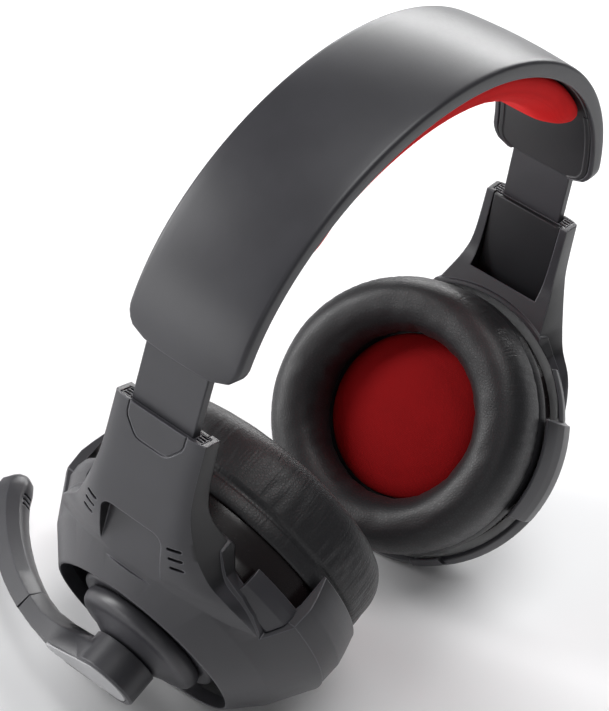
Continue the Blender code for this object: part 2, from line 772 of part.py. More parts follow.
def build_cups():
    shared = {
        "vent_ring": (vent_ring_mesh(), dark_grey),
        "drum": (drum_mesh(), shell_grey),
        "baffle": (baffle_mesh(), dark_grey),
        "driver_frame": (driver_frame_mesh(), steel),
        "driver_magnet": (driver_magnet_mesh(), steel),
        "driver_diaphragm": (diaphragm_mesh(), black_rubber),
        "ear_cloth": (ear_cloth_mesh(), red_cloth),
        "ear_cushion": (cushion_mesh(), leatherette),
    }
    for side in SIDES:
        cup = bpy.data.objects[f"{side}_cup"]
        place(f"{side}_cup_housing", housing_mesh(side == "left"), cup_gloss, cup)
        place(f"{side}_disc", disc_mesh(side == "left"), shell_grey, cup)
        for name, (mesh, finish) in shared.items():
            place(f"{side}_{name}", mesh, finish, cup)
    left_cup = bpy.data.objects["left_cup"]
    place("cable_inlet", inlet_mesh(), black_rubber, left_cup)
    place("boom_spindle", spindle_mesh(), steel, left_cup)
    place("boom_washer", washer_mesh(), black_rubber, left_cup)


def build_boom():
    boom = empty("boom", Matrix.Rotation(BOOM_REST, 4, "Z"), bpy.data.objects["left_cup"])
    place("boom_hub", boom_hub_mesh(), shell_grey, boom)
    place("boom_arm", boom_arm_mesh(), shell_grey, boom)
    place("boom_panel", boom_panel_mesh(), bright_panel, boom)
    place("mic_capsule", capsule_mesh(), steel, boom)


build_headband()
build_yokes()
build_cups()
build_boom()
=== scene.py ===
import math

import bmesh
import bpy
from mathutils import Matrix, Vector, noise


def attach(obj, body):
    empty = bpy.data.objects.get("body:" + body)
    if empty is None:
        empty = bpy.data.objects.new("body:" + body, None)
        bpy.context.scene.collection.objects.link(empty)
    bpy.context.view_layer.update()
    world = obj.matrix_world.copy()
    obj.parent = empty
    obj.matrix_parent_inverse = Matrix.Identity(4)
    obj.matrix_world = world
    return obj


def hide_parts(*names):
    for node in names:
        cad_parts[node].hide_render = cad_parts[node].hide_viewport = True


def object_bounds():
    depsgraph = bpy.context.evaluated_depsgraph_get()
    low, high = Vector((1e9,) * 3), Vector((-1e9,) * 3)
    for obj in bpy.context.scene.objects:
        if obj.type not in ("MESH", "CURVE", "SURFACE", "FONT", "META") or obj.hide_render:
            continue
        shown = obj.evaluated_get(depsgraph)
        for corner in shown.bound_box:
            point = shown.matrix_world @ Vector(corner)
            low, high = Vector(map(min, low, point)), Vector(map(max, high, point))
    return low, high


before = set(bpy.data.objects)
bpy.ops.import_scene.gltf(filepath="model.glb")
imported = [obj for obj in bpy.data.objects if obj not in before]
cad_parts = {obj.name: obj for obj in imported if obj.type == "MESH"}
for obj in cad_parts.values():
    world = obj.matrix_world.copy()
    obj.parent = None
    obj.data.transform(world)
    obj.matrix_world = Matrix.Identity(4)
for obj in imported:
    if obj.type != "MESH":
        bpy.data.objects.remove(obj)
cad_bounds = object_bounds()

# ---- Studio ----
# A pale painted table top under one large softbox, with a narrow softbox to one side, a strip
# light behind, and two weak fills. The camera looks down on the headset from its left.

MM = 0.001
FLOOR_SIDE = 8.0
FLOOR_GAP = 0.2 * MM
FLOOR_CLOUD = 0.35
FLOOR_COLOUR = (0.86, 0.86, 0.87)
SKY_COLOUR = (0.93, 0.94, 0.96)
SKY_STRENGTH = 0.10
LENS_LENGTH = 105.6
SENSOR_WIDTH = 36
CAMERA_SPOT = (0.4436, 0.2502, 0.4012)
CAMERA_TURN = (54.516, -10.838, 128.677)
# Each light's name, spot, the spot it aims at, and two sides, in metres, and its power in watts.
LIGHTS = (
    ("overhead_softbox", (0.0, 0.15, 1.2), (0, 0, 0.05), (0.7, 0.7), 8.5),
    ("front_softbox", (0.60, -1.00, 0.42), (0, 0, 0.05), (0.3, 0.8), 12),
    ("low_fill", (0.90, -0.45, 0.12), (0.06, 0, 0.0), (0.5, 0.28), 1.8),
    ("rear_strip", (-0.80, -0.40, 0.42), (0, 0, 0.1), (0.9, 0.25), 8),
    ("camera_strip", (0.95, 0.75, 0.45), (0.02, 0, 0.03), (0.25, 0.8), 1.0),
)


class Shade:
    """One value from a shader node. It takes part in sums with numbers and with other values."""

    def __init__(self, finish, socket):
        self.finish = finish
        self.socket = socket

    def maths(self, operation, *values):
        return self.finish.node("ShaderNodeMath", {"operation": operation}, dict(enumerate(values)))

    def __add__(self, other):
        return self.maths("ADD", self, other)

    def __sub__(self, other):
        return self.maths("SUBTRACT", self, other)

    def __mul__(self, other):
        return self.maths("MULTIPLY", self, other)

    def __truediv__(self, other):
        return self.maths("DIVIDE", self, other)

    def __pow__(self, other):
        return self.maths("POWER", self, other)

    def __rpow__(self, other):
        return self.maths("POWER", other, self)

    def __radd__(self, other):
        return self.maths("ADD", other, self)

    def __rsub__(self, other):
        return self.maths("SUBTRACT", other, self)

    def __rmul__(self, other):
        return self.maths("MULTIPLY", other, self)

    def __rtruediv__(self, other):
        return self.maths("DIVIDE", other, self)

    def sine(self):
        return self.maths("SINE", self)

    def size(self):
        return self.maths("ABSOLUTE", self)

    def rise(self, low, high):
        """0 below low, 1 above high, smooth between them."""
        limits = {"Value": self, "From Min": low, "From Max": high}
        settings = {"interpolation_type": "SMOOTHSTEP"}
        return self.finish.node("ShaderNodeMapRange", settings, limits)


class Finish:
    """A material, and the nodes that vary it over a surface."""

    def __init__(self, name, colour, roughness, **fixed):
        self.material = bpy.data.materials.new(name)
        self.material.use_nodes = True
        self.nodes = self.material.node_tree.nodes
        self.links = self.material.node_tree.links
        self.shader = self.nodes["Principled BSDF"]
        self.colour = colour
        self.shader.inputs["Base Color"].default_value = (*colour, 1)
        self.shader.inputs["Roughness"].default_value = roughness
        for name, value in fixed.items():
            self.shader.inputs[name.replace("_", " ")].default_value = value

    def node(self, kind, settings, inputs, output=0):
        made = self.nodes.new(kind)
        for name, value in settings.items():
            setattr(made, name, value)
        for name, value in inputs.items():
            if isinstance(value, Shade):
                self.links.new(value.socket, made.inputs[name])
            else:
                made.inputs[name].default_value = value
        return Shade(self, made.outputs[output])

    def feed(self, name, value):
        self.links.new(value.socket, self.shader.inputs[name])

    def place(self, origin=(0, 0, 0), turn=(0, 0, 0)):
        """Object coordinates, seen from a frame with this origin and turn."""
        spot = self.node("ShaderNodeTexCoord", {}, {}, "Object")
        inputs = {"Vector": spot, "Location": origin, "Rotation": turn}
        return self.node("ShaderNodeMapping", {"vector_type": "TEXTURE"}, inputs)

    def part(self, place, axis):
        return self.node("ShaderNodeSeparateXYZ", {}, {0: place}, axis)

    def speckle(self, place, cell, detail=2.0, roughness=0.5):
        """Cloudy noise whose clouds are this many metres across."""
        inputs = {"Vector": place, "Scale": 1 / cell, "Detail": detail, "Roughness": roughness}
        return self.node("ShaderNodeTexNoise", {}, inputs)

    def blend_colour(self, share, first, second):
        settings = {"data_type": "RGBA", "blend_type": "MIX"}
        made = {0: share}
        for index, value in ((6, first), (7, second)):
            made[index] = value if isinstance(value, Shade) else (*value, 1)
        return self.node("ShaderNodeMix", settings, made, 2)

    def round_normal(self, radius):
        return self.node("ShaderNodeBevel", {"samples": 6}, {"Radius": radius})

    def edge(self, normal):
        """0 on open surface, rising to 1 along moulded edges, where wear and a painted highlight
        go.
        """
        flat = self.node("ShaderNodeNewGeometry", {}, {}, "Normal")
        inputs = {0: normal, 1: flat}
        same = self.node("ShaderNodeVectorMath", {"operation": "DOT_PRODUCT"}, inputs, 1)
        return (1.0 - same).rise(0.004, 0.11)

    def bump(self, height, distance, normal=None):
        inputs = {"Height": height, "Distance": distance, "Strength": 1.0}
        if normal is not None:
            inputs["Normal"] = normal
        self.feed("Normal", self.node("ShaderNodeBump", {}, inputs))


def tinted(colour, factor):
    return tuple(min(1.0, part * factor) for part in colour)


def add_floor():
    finish = Finish("table_paint", FLOOR_COLOUR, 0.55)
    place = finish.place()
    cloud = finish.speckle(place, FLOOR_CLOUD, 3.0)
    finish.feed("Base Color", finish.blend_colour(cloud, tinted(FLOOR_COLOUR, 0.985), FLOOR_COLOUR))
    shape = bmesh.new()
    bmesh.ops.create_grid(shape, x_segments=4, y_segments=4, size=FLOOR_SIDE / 2)
    bmesh.ops.translate(shape, verts=shape.verts, vec=(0, 0, cad_bounds[0].z - FLOOR_GAP))
    mesh = bpy.data.meshes.new("table_top")
    shape.to_mesh(mesh)
    shape.free()
    mesh.materials.append(finish.material)
    floor = bpy.data.objects.new("table_top", mesh)
    bpy.context.scene.collection.objects.link(floor)


def add_light(name, spot, aim, size, power):
    lamp = bpy.data.lights.new(name, "AREA")
    lamp.shape = "RECTANGLE"
    lamp.size, lamp.size_y = size
    lamp.energy = power
    holder = bpy.data.objects.new(name, lamp)
    holder.location = spot
    holder.rotation_euler = (Vector(aim) - Vector(spot)).to_track_quat("-Z", "Y").to_euler()
    bpy.context.scene.collection.objects.link(holder)


def add_camera():
    lens = bpy.data.cameras.new("camera")
    lens.lens = LENS_LENGTH
    lens.sensor_width = SENSOR_WIDTH
    camera = bpy.data.objects.new("camera", lens)
    camera.location = CAMERA_SPOT
    camera.rotation_euler = [math.radians(angle) for angle in CAMERA_TURN]
    bpy.context.scene.collection.objects.link(camera)
    bpy.context.scene.camera = camera


def add_sky():
    world = bpy.data.worlds.new("studio_air")
    world.use_nodes = True
    background = world.node_tree.nodes["Background"]
    background.inputs["Color"].default_value = (*SKY_COLOUR, 1)
    background.inputs["Strength"].default_value = SKY_STRENGTH
    bpy.context.scene.world = world


add_camera()
add_floor()
add_sky()
for light in LIGHTS:
    add_light(*light)
bpy.context.scene.view_settings.view_transform = "Standard"


# ---- Headband cover ----
# One long moulding in satin dark grey ABS, crowned across its width, with a rolled edge and deep
# side walls. It is open underneath, and snaps over the liner and the end plates.

SHELL_GREY = (0.034, 0.0335, 0.0385)
BAND_APEX = Vector((0, 156.6))
BAND_END = Vector((90.0, 90.7))
BAND_APEX_REACH = 42.9
BAND_END_REACH = 39.0
SLIDE_TILT = math.radians(6.0)
BAND_HALF_LENGTH = 104
BAND_HALF_WIDTH = 19.0
BAND_DEPTH = 6.0
BAND_CORNER = 6.5
BAND_CROWN = 0.9
BAND_STATIONS = 72
COVER_ROLL = 1.3
COVER_WALL = 1.8
COVER_FACE_STEPS = 12
FLOW_CLOUD = 16 * MM
SPARK_DUST = 1.1 * MM
SPARK_GRAIN = 0.22 * MM
GRAIN_DEPTH = 0.012 * MM
EDGE_WEAR_AND_HIGHLIGHT = 3.6


def moulded(name, colour, roughness, grain=1.0, edge_radius=0.45 * MM, **fixed):
    """Moulded plastic: spark-eroded grain, faint flow clouds, edges paler as wear and painted
    highlight.
    """
    finish = Finish(name, colour, roughness, **fixed)
    place = finish.place()
    cloud = finish.speckle(place, FLOW_CLOUD, 3.0)
    dust = finish.speckle(place, SPARK_DUST, 4.0, 0.65)
    fine = finish.speckle(place, SPARK_GRAIN, 2.0, 0.6)
    normal = finish.round_normal(edge_radius)
    edge = finish.edge(normal)
    body = finish.blend_colour(cloud.rise(0.3, 0.7), tinted(colour, 0.92), tinted(colour, 1.07))
    # Edges painted paler: partly wear, partly a painted highlight along each edge.
    finish.skin = finish.blend_colour(edge * 0.8, body, tinted(colour, EDGE_WEAR_AND_HIGHLIGHT))
    finish.feed("Base Color", finish.skin)
    finish.feed("Roughness", roughness + (dust - 0.5) * 0.10 + (cloud - 0.5) * 0.06 - edge * 0.05)
    finish.bump(fine + dust * 0.35, GRAIN_DEPTH * grain, normal)
    return finish


def band_point(t, inset):
    """A point of the band's half profile in mm, inset from its outer face.

    t is 0 at the apex and 1 at the end.
    """
    down = Vector((math.sin(SLIDE_TILT), -math.cos(SLIDE_TILT)))
    apex_handle = BAND_APEX + Vector((BAND_APEX_REACH, 0))
    handles = (BAND_APEX, apex_handle, BAND_END - down * BAND_END_REACH, BAND_END)
    weights = ((1 - t) ** 3, 3 * (1 - t) ** 2 * t, 3 * (1 - t) * t**2, t**3)
    slopes = (-3 * (1 - t) ** 2, 3 * (1 - t) * (1 - 3 * t), 3 * t * (2 - 3 * t), 3 * t**2)
    spot = sum((w * h for w, h in zip(weights, handles)), Vector((0, 0)))
    way = sum((s * h for s, h in zip(slopes, handles)), Vector((0, 0))).normalized()
    return spot + inset * Vector((way.y, -way.x))


def band_spot(t, y, inset):
    """The same for either half of the band, as a place in metres."""
    point = band_point(abs(t), inset)
    return Vector((math.copysign(point.x, t), y, point.y)) * MM


def swept(rings):
    """A skin over rings of as many places each: the first ring is extruded along the others."""
    shape = bmesh.new()
    loop = [shape.verts.new(spot) for spot in rings[0]]
    edges = [shape.edges.new(pair) for pair in zip(loop, loop[1:] + loop[:1])]
    first = list(edges)
    for ring in rings[1:]:
        made = bmesh.ops.extrude_edge_only(shape, edges=edges)["geom"]
        edges = [part for part in made if isinstance(part, bmesh.types.BMEdge)]
        fresh = [part for part in made if isinstance(part, bmesh.types.BMVert)]
        fresh_of = {}
        for vert in fresh:
            for edge in vert.link_edges:
                other = edge.other_vert(vert)
                if other in loop:
                    fresh_of[other] = vert
        loop = [fresh_of[vert] for vert in loop]
        for vert, spot in zip(loop, ring):
            vert.co = spot
        ends = set(loop)
        edges = [edge for edge in edges if edge.verts[0] in ends and edge.verts[1] in ends]
    for rim in (first, edges):
        bmesh.ops.triangle_fill(shape, use_beauty=True, use_dissolve=False, edges=rim)
    bmesh.ops.remove_doubles(shape, verts=shape.verts, dist=0.001 * MM)
    bmesh.ops.recalc_face_normals(shape, faces=shape.faces)
    return shape


def arc(centre, radius, first, last, steps):
    """Places on a circle in a plane, with the angles in degrees."""
    spots = []
    for step in range(steps + 1):
        angle = math.radians(first + (last - first) * step / steps)
        spots.append((centre[0] + radius * math.cos(angle), centre[1] + radius * math.sin(angle)))
    return spots


def piece_of(name, shape, finish, body, stands_for=(), sharp=32):
    """A finished piece: its mesh, material and body, and the CAD nodes that it stands for."""
    mesh = bpy.data.meshes.new(name)
    shape.to_mesh(mesh)
    shape.free()
    mesh.materials.append(finish.material)
    mesh.shade_smooth()
    mesh.set_sharp_from_angle(angle=math.radians(sharp))
    piece = bpy.data.objects.new(name, mesh)
    bpy.context.scene.collection.objects.link(piece)
    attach(piece, body)
    if stands_for:
        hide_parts(*stands_for)
    return piece


def cover_section(half):
    """The cover's section as (y, inset): crowned face, rolled edges, side walls and hollow."""
    face = []
    for step in range(COVER_FACE_STEPS + 1):
        y = -half + COVER_ROLL + (2 * half - 2 * COVER_ROLL) * step / COVER_FACE_STEPS
        face.append((y, BAND_CROWN * (y / half) ** 2))
    rolled = arc((-COVER_ROLL, 0), COVER_ROLL, -75, 0, 4)
    right = [(half + x, BAND_CROWN + 1.2 + inset) for x, inset in rolled]
    right += [(half, 4.0), (half - 0.1, BAND_DEPTH - 0.3), (half - 0.45, BAND_DEPTH)]
    inner = half - COVER_WALL
    right += [(half - 1.6, BAND_DEPTH), (inner, BAND_DEPTH - 0.3), (inner, 2.4)]
    left = [(-y, inset) for y, inset in reversed(right)]
    return face + right + [(0, 1.9)] + left


cover_rings = []
for step in range(-BAND_STATIONS, BAND_STATIONS + 1):
    t = step / BAND_STATIONS
    short = max(0.0, BAND_CORNER - (1 - abs(t)) * BAND_HALF_LENGTH)
    half = BAND_HALF_WIDTH - BAND_CORNER + math.sqrt(max(0.0, BAND_CORNER**2 - short**2))
    cover_rings.append([band_spot(t, y, inset) for y, inset in cover_section(half)])
shell_grey = moulded("shell_grey", SHELL_GREY, 0.40)
cover = swept(cover_rings)
piece_of(
    "headband_cover_skin", cover, shell_grey, "headband", ["headband_cover"]
)


# ---- Liner and end plates ----
# The band's underside: a thin moulded liner beneath the pad, and at each end a plate that holds the
# slider strip. Both are dark grey ABS, and snap inside the cover's walls.

DARK_GREY = (0.016, 0.0157, 0.018)
PAD_END = 0.70
PLATE_START = PAD_END + 0.004
PLATE_LENGTH = 0.992 - PAD_END
PLATE_TIP = 0.996
PLATE_HALF_WIDTH = 16.9
PLATE_CORNER = 5.0
PLATE_RIM = 0.35
PLATE_STATIONS = 24


def refined(node, finish, body, width=0.3):
    """A merged copy of a CAD node, its edges rounded by this many mm, as a mould leaves them."""
    shape = bmesh.new()
    shape.from_mesh(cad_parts[node].data)
    bmesh.ops.remove_doubles(shape, verts=shape.verts, dist=0.01 * MM)
    bmesh.ops.dissolve_limit(
        shape, angle_limit=math.radians(1), verts=shape.verts, edges=shape.edges
    )
    piece = piece_of(node + "_moulding", shape, finish, body, [node])
    if width:
        rounding = piece.modifiers.new("moulded_edges", "BEVEL")
        rounding.width = width * MM
        rounding.segments = 2
        rounding.limit_method = "ANGLE"
        rounding.angle_limit = math.radians(30)
        rounding.use_clamp_overlap = True


def plate_section(half):
    """The plate's section as (y, inset): a raised rim on each edge, and a shallow dish between."""
    outer = [(-half, 5.0), (-half, BAND_DEPTH - PLATE_RIM), (-half + PLATE_RIM, BAND_DEPTH)]
    dish = [(-half + 1.6, BAND_DEPTH), (-half + 1.9, BAND_DEPTH - 0.3)]
    left = outer + dish
    return left + [(-y, inset) for y, inset in reversed(left)]


dark_grey = moulded("dark_grey", DARK_GREY, 0.42)
refined("headband_liner", dark_grey, "headband")
for side, sign in (("left", 1), ("right", -1)):
    rings = []
    for step in range(PLATE_STATIONS + 1):
        t = PLATE_START + PLATE_LENGTH * step / PLATE_STATIONS
        short = max(0.0, PLATE_CORNER - (PLATE_TIP - t) * BAND_HALF_LENGTH)
        half = PLATE_HALF_WIDTH - PLATE_CORNER
        half += math.sqrt(max(0.0, PLATE_CORNER**2 - short**2))
        rings.append([band_spot(sign * t, y, inset) for y, inset in plate_section(half)])
    node = f"{side}_end_plate"
    piece_of(node + "_moulding", swept(rings), dark_grey, "headband", [node])


# ---- Headband pad ----
# A foam strip in bright red woven cloth, glued to the liner. It is crowned across its width, and
# tucked in along both edges and at its rounded ends.

PAD_RED = (0.86, 0.014, 0.015)
PAD_HALF_WIDTH = 16.6
PAD_BASE = 6.4
PAD_CREST = 16.6
PAD_TUCK = 0.14
PAD_STATIONS = 90
PAD_THREAD = 1.3 * MM
PAD_SWELL = 1.1
PAD_PRESSURE = 14.0
PAD_GLUED_OUTSIDE = 88 * MM
PAD_CENTRE = Vector((0, 60 * MM))
DYE_CLOUD = 9 * MM
NAP = 0.5 * MM
SIM_SCALE = 10.0
SIM_FRAMES = 20


def woven(name, colour, thread, roughness, origin=(0, 0, 0), turn=(0, 0, 0), depth=0.06):
    """Plain woven cloth: diagonal threads, uneven dye, a soft nap, and painted shade between
    threads.
    """
    soft = {"Sheen_Weight": 0.04, "Sheen_Roughness": 0.5, "Specular_IOR_Level": 0.12}
    finish = Finish(name, colour, roughness, **soft)
    finish.shader.inputs["Sheen Tint"].default_value = (*tinted(colour, 1.5), 1)
    place = finish.place(origin, turn)
    across, along = finish.part(place, 0), finish.part(place, 1)
    pitch = 2 * math.pi / thread
    warp = ((across + along) * pitch).sine()
    weft = ((across - along) * pitch).sine()
    threads = warp.size() * 0.5 + weft.size() * 0.5 + warp * weft * 0.25
    dye = finish.speckle(place, DYE_CLOUD, 3.0)
    nap = finish.speckle(place, NAP, 3.0, 0.7)
    body = finish.blend_colour(dye, tinted(colour, 0.86), tinted(colour, 1.1))
    raised = (threads * 0.5 + nap * 0.4).rise(0.1, 0.8)
    # Painted shade: the hollows between the raised threads are painted darker.
    finish.feed("Base Color", finish.blend_colour(raised, tinted(colour, 0.78), body))
    finish.feed("Roughness", roughness + (nap - 0.5) * 0.12)
    finish.bump(threads + nap * 0.5, depth * MM)
    return finish


def mesh_of(shape, name):
    mesh = bpy.data.meshes.new(name)
    shape.to_mesh(mesh)
    shape.free()
    return mesh


def filled(shape, name, sewn_down, swell, pressure=4.0):
    """The padded shape once its filling has pressed the cover out, each point by swell at most."""
    mesh = mesh_of(shape, name)
    rest = [vert.co.copy() for vert in mesh.vertices]
    helper = bpy.data.objects.new(name, mesh)
    bpy.context.scene.collection.objects.link(helper)
    mesh.transform(Matrix.Scale(SIM_SCALE, 4))
    group = helper.vertex_groups.new(name="sewn_down")
    group.add([index for index, spot in enumerate(rest) if sewn_down(spot)], 1.0, "REPLACE")
    cloth = helper.modifiers.new("filling", "CLOTH")
    cloth.settings.vertex_group_mass = group.name
    cloth.settings.use_pressure = True
    cloth.settings.uniform_pressure_force = pressure
    cloth.settings.effector_weights.gravity = 0
    for moment in range(1, SIM_FRAMES + 1):
        bpy.context.scene.frame_set(moment)
    graph = bpy.context.evaluated_depsgraph_get()
    puffed = bpy.data.meshes.new_from_object(helper.evaluated_get(graph))
    helper.modifiers.clear()
    for vert, start, end in zip(mesh.vertices, rest, puffed.vertices):
        travel = end.co / SIM_SCALE - start
        if travel.length > swell * MM:
            travel = travel.normalized() * swell * MM
        vert.co = start + travel
    bpy.context.scene.frame_set(1)
    finer = helper.modifiers.new("finer", "SUBSURF")
    finer.levels = finer.render_levels = 1
    graph = bpy.context.evaluated_depsgraph_get()
    result = bpy.data.meshes.new_from_object(helper.evaluated_get(graph))
    bpy.data.objects.remove(helper)
    made = bmesh.new()
    made.from_mesh(result)
    return made


def pad_section(half, rise):
    """The pad's section as (y, inset): flat against the liner, and crowned on the wearer's side."""
    spots = []
    for step in range(9):
        spots.append((-half + 2 * half * step / 8, PAD_BASE))
    for step in range(1, 22):
        angle = math.pi * step / 22
        y = half * math.copysign(abs(math.cos(angle)) ** 0.55, math.cos(angle))
        spots.append((y, PAD_BASE + rise * math.sin(angle) ** 0.36))
    return spots


pad_rings = []
pad_limit = PAD_END - 0.012
for step in range(PAD_STATIONS + 1):
    t = -pad_limit + 2 * pad_limit * step / PAD_STATIONS
    tuck = min(1.0, (pad_limit - abs(t)) / PAD_TUCK)
    tuck = math.sqrt(max(0.0, tuck * (2 - tuck)))
    rise = 1.0 + (PAD_CREST - PAD_BASE - 1.0) * tuck
    half = PAD_HALF_WIDTH * (0.82 + 0.18 * tuck)
    pad_rings.append([band_spot(t, y, inset) for y, inset in pad_section(half, rise)])
pad_shape = filled(
    swept(pad_rings),
    "pad_cover",
    lambda spot: (Vector((spot.x, spot.z)) - PAD_CENTRE).length > PAD_GLUED_OUTSIDE,
    PAD_SWELL,
    PAD_PRESSURE,
)
pad_cloth = woven("pad_cloth", PAD_RED, PAD_THREAD, 0.8)
pad = piece_of(
    "headband_pad_cushion", pad_shape, pad_cloth, "headband", ["headband_pad"], 70
)


# ---- Slider strips ----
# Flat moulded strips that come out of the band's ends and run down inside the yokes. They are
# satin grey, with square edges just broken.

for side in ("left", "right"):
    refined(f"{side}_slider_strip", shell_grey, "headband", 0.35)


# ---- Yokes ----
# Each yoke is one deep grey moulding: a flat arm that flares into the ring round the ear cup, with
# bumpers at its front and rear. A dark inner cover, a mouth guide and two steel pins go in it.

CUP_X = 57.9
CUP_LEAN = math.radians(30.0)
YOKE_TOP = Vector((92.4, 0, 72.8))


def axes(x_axis, y_axis, z_axis, origin):
    place = Matrix((x_axis, y_axis, z_axis)).transposed().to_4x4()
    place.translation = Vector(origin) * MM
    return place


SLIDE = axes(
    (0, 1, 0),
    (-math.sin(SLIDE_TILT), 0, math.cos(SLIDE_TILT)),
    (math.cos(SLIDE_TILT), 0, math.sin(SLIDE_TILT)),
    YOKE_TOP,
)
CUP = axes(
    (0, 1, 0),
    (math.sin(CUP_LEAN), 0, math.cos(CUP_LEAN)),
    (math.cos(CUP_LEAN), 0, -math.sin(CUP_LEAN)),
    (CUP_X, 0, 0),
)
FRONT = axes((0, 1, 0), (0, 0, 1), (1, 0, 0), (0, 0, 0))
UNTURNED = Matrix.Identity(4)
HALF_TURN = {"left": UNTURNED, "right": Matrix.Rotation(math.pi, 4, "Z")}


def yoke_plastic_with_painted_shade():
    """The shell's grey, with painted shade: on the arm, the side walls are painted darker than the
    inner half's grey.
    """
    finish = moulded("yoke_grey", SHELL_GREY, 0.38, edge_radius=0.6 * MM)
    spot = finish.node("ShaderNodeTexCoord", {}, {}, "Object")
    facing = finish.node("ShaderNodeTexCoord", {}, {}, "Normal")
    above = finish.part(spot, 2).rise(16 * MM, 30 * MM)
    # Painted shade: walls that face front or rear, high on the arm, are painted a darker grey.
    wall = finish.part(facing, 1).size().rise(0.66, 0.80) * above
    painted_shade_grey = tinted(DARK_GREY, 0.55)
    finish.feed("Base Color", finish.blend_colour(wall, finish.skin, painted_shade_grey))
    return finish


# Across the arm from its top into the ring, in mm: height along the slide, half width, and how far
# the middle, the edges and the back lie from the plane of the outer face.
ARM_SECTIONS = (
    (0, 15.7, 0, -1.2, -7.1),
    (-17, 16.1, 0, -1.4, -8.4),
    (-25, 17.4, 0, -1.9, -10.6),
    (-33, 20.0, 0, -3.6, -16.6),
    (-38, 22.2, -0.9, -5.4, -20.2),
    (-43, 25.3, -2.2, -7.8, -23.2),
    (-48, 30.8, -3.8, -11.2, -26.6),
    (-53, 34.6, -5.6, -15.4, -29.4),
    (-58, 36.9, -8.0, -19.6, -33.2),
    (-64, 38.0, -13.0, -25.0, -37.5),
)
CARRIED_LOW = -6
# Profiles turned about the cup's axis, in mm: radius, and height along the axis.
RING_OUTSIDE = [(0, 25.7), (31.6, 25.7), (40.2, 16.5), (46.8, 5.7), (48.3, 3.3)]
RING_OUTSIDE += [(47.0, -1.4), (0, -1.4)]
RING_INSIDE = [(0, 40), (31, 40), (31, 21.5), (38.4, 14), (44.3, 4.4), (45.3, 0)]
RING_INSIDE += [(45.9, -3), (45.9, -40), (0, -40)]
BUMPER = [(44.6, 3.0), (48.4, 3.2), (48.8, -3.4), (48.0, -7.7), (46.6, -13.4), (44.6, -13.4)]
LOW_BUMPER = [(44.6, 2.5), (48.0, 2.0), (48.4, -3.0), (46.6, -6.5), (44.6, -6.5)]
SHOULDER = [(41.9, 8.9), (43.8, 8.9), (46.2, 4.6), (46.6, 1.4), (46.1, -1.2)]
SHOULDER += [(45.5, -0.6), (44.5, 4.6)]
PIN_HOLE = [(0, 47.7), (2.1, 47.7), (2.1, 40), (0, 40)]
# Outlines in the cup's plane that keep part of a profile: across, and up.
BUMPER_SPAN = [(30, 22), (60, 22), (60, -14), (30, -7)]
LOW_BUMPER_SPAN = [(18, -30), (45, -46), (30, -60), (20, -40)]
SHOULDER_SPAN = [(28, 22.2), (55, 22.2), (52, 62), (26, 31)]
PANEL_SEAM = [(-10.0, 2), (-9.9, -3.2), (-9.4, -4.6), (-6.4, -8.0), (-5.2, -8.9), (-3.9, -9.2)]
SEAM_HALF_WIDTH = 0.26
SEAM_DEPTH = 0.45
POCKET_FLOOR = 91.4
SLOT_ROWS = 3
ARM_STEPS = 54
MOULD_STEPS = 96
TURN_STEPS = 128


def spun(profile, place, fillet=0.5, steps=TURN_STEPS, closed=True):
    """A profile of (radius, height) in mm, its corners filleted, turned about the cup's axis."""
    count = len(profile)
    smooth = []
    for index, corner in enumerate(profile):
        spot = Vector(corner)
        if not closed and index in (0, count - 1):
            smooth.append(spot)
            continue
        before = Vector(profile[index - 1]) - spot
        after = Vector(profile[(index + 1) % count]) - spot
        start = spot + before.normalized() * min(fillet, before.length * 0.45)
        end = spot + after.normalized() * min(fillet, after.length * 0.45)
        for share in (0.0, 0.25, 0.5, 0.75, 1.0):
            rest = 1 - share
            smooth.append(rest**2 * start + 2 * share * rest * spot + share**2 * end)
    shape = bmesh.new()
    verts = [shape.verts.new((spot.x * MM, 0, spot.y * MM)) for spot in smooth]
    pairs = zip(verts, verts[1:] + verts[:1]) if closed else zip(verts, verts[1:])
    edges = [shape.edges.new(pair) for pair in pairs]
    bmesh.ops.spin(
        shape, geom=verts + edges, cent=(0, 0, 0), axis=(0, 0, 1), angle=2 * math.pi,
        steps=steps, use_merge=True, use_duplicate=False,
    )
    bmesh.ops.remove_doubles(shape, verts=shape.verts, dist=0.002 * MM)
    bmesh.ops.recalc_face_normals(shape, faces=shape.faces)
    bmesh.ops.transform(shape, matrix=place, verts=shape.verts)
    return shape


def hidden(name, shape):
    """A tool body for cutting or joining, which is removed once it has been used."""
    helper = bpy.data.objects.new(name, mesh_of(shape, name))
    bpy.context.scene.collection.objects.link(helper)
    return helper


def prism(outline, low, high, place):
    """A flat outline in mm, extruded along the place's Z from low to high."""
    shape = bmesh.new()
    face = shape.faces.new([shape.verts.new((x * MM, y * MM, low * MM)) for x, y in outline])
    made = bmesh.ops.extrude_face_region(shape, geom=[face])["geom"]
    top = [part for part in made if isinstance(part, bmesh.types.BMVert)]
    bmesh.ops.translate(shape, verts=top, vec=(0, 0, (high - low) * MM))
    bmesh.ops.recalc_face_normals(shape, faces=shape.faces)
    bmesh.ops.transform(shape, matrix=place, verts=shape.verts)
    return shape


def block(low, high, place):
    """A square-edged block between two corners in mm."""
    outline = [(low[0], low[1]), (high[0], low[1]), (high[0], high[1]), (low[0], high[1])]
    return prism(outline, low[2], high[2], place)


def between(a, b, c, d, u):
    """The place at share u from b to c, on a smooth curve through all four."""
    bend = (2 * a - 5 * b + 4 * c - d) * u**2
    return 0.5 * (2 * b + (c - a) * u + bend + (3 * b - a - 3 * c + d) * u**3)


def through(values, share):
    """A smooth curve through rows of numbers, from the first at share 0 to the last at 1."""
    span = share * (len(values) - 1)
    index = min(int(span), len(values) - 2)
    u = span - index
    rows = [values[min(max(index + shift, 0), len(values) - 1)] for shift in (-1, 0, 1, 2)]
    return [between(*four, u) for four in zip(*rows)]


